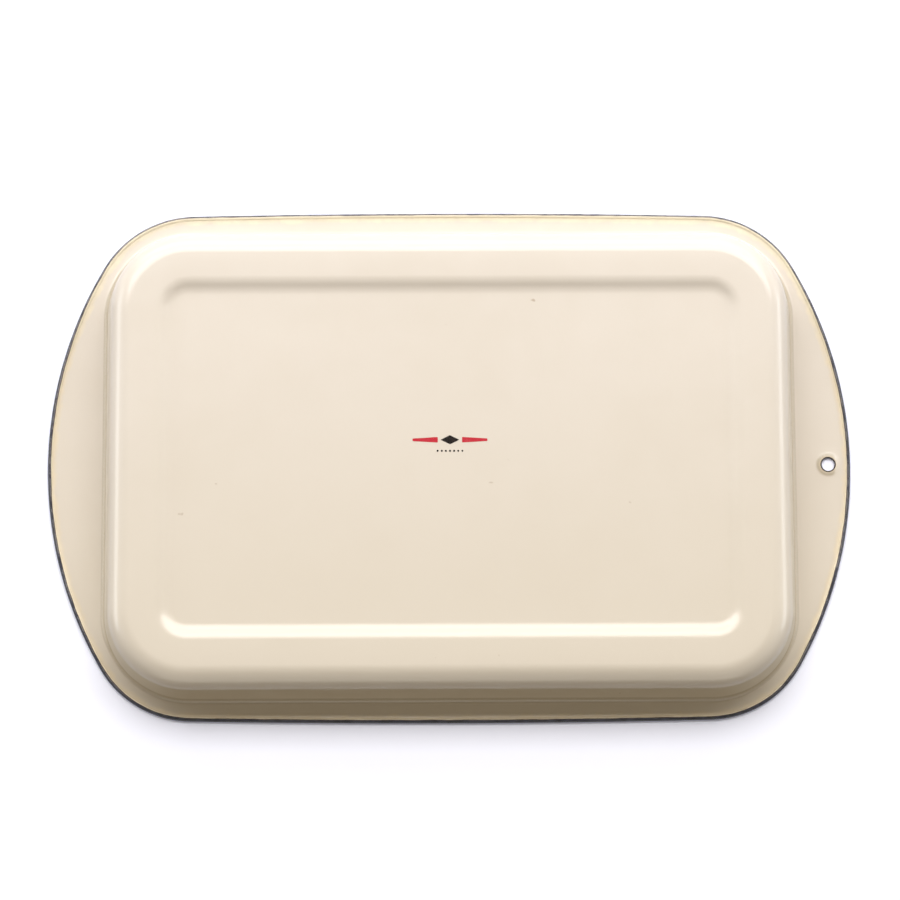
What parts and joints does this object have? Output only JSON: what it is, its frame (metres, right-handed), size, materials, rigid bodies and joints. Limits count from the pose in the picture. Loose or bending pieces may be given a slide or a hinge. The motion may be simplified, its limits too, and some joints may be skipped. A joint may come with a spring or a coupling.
{
  "type": "enamelled steel serving tray",
  "caption": "Oblong pressed-steel serving tray with cream vitreous enamel, wide bowed ears, dark rolled rim, raised centre panel and a hanging hole, shown lying face down.",
  "frame": {"origin": "middle of the bounding box at the bottom: the centre of the tray on the plane that its rolled rim rests on when it lies face down", "axes": "+X along the length towards the ear with the hanging hole, +Y across the width, +Z out of the underside, from the rim towards the foot band; turn it half a turn about X to use it face up"},
  "size_m": [0.435, 0.28, 0.034],
  "materials": {
    "steel": "bare pressed sheet steel, closed in by the enamel",
    "ground_enamel": "dark fired ground coat",
    "cream_enamel": "satin cream vitreous enamel, slightly warmer next to the rim",
    "face_enamel": "glossy pale vitreous enamel",
    "rim_enamel": "glossy charcoal enamel, slightly uneven along its inner edge",
    "hole_enamel": "dark enamel edge",
    "red_print": "fired red print",
    "dark_print": "fired near-black print"
  },
  "bodies": {
    "root": {"steel_body": "steel", "ground_coat_underside": "ground_enamel", "ground_coat_face": "ground_enamel", "cover_coat_underside": "cream_enamel", "cover_coat_face": "face_enamel", "rim_edging": "rim_enamel", "hole_edging": "hole_enamel", "mark_red_bars": "red_print", "mark_dark_diamond": "dark_print", "mark_dark_dots": "dark_print", "face_border_print": "red_print", "face_inner_line_print": "dark_print"}
  },
  "joints": []
}
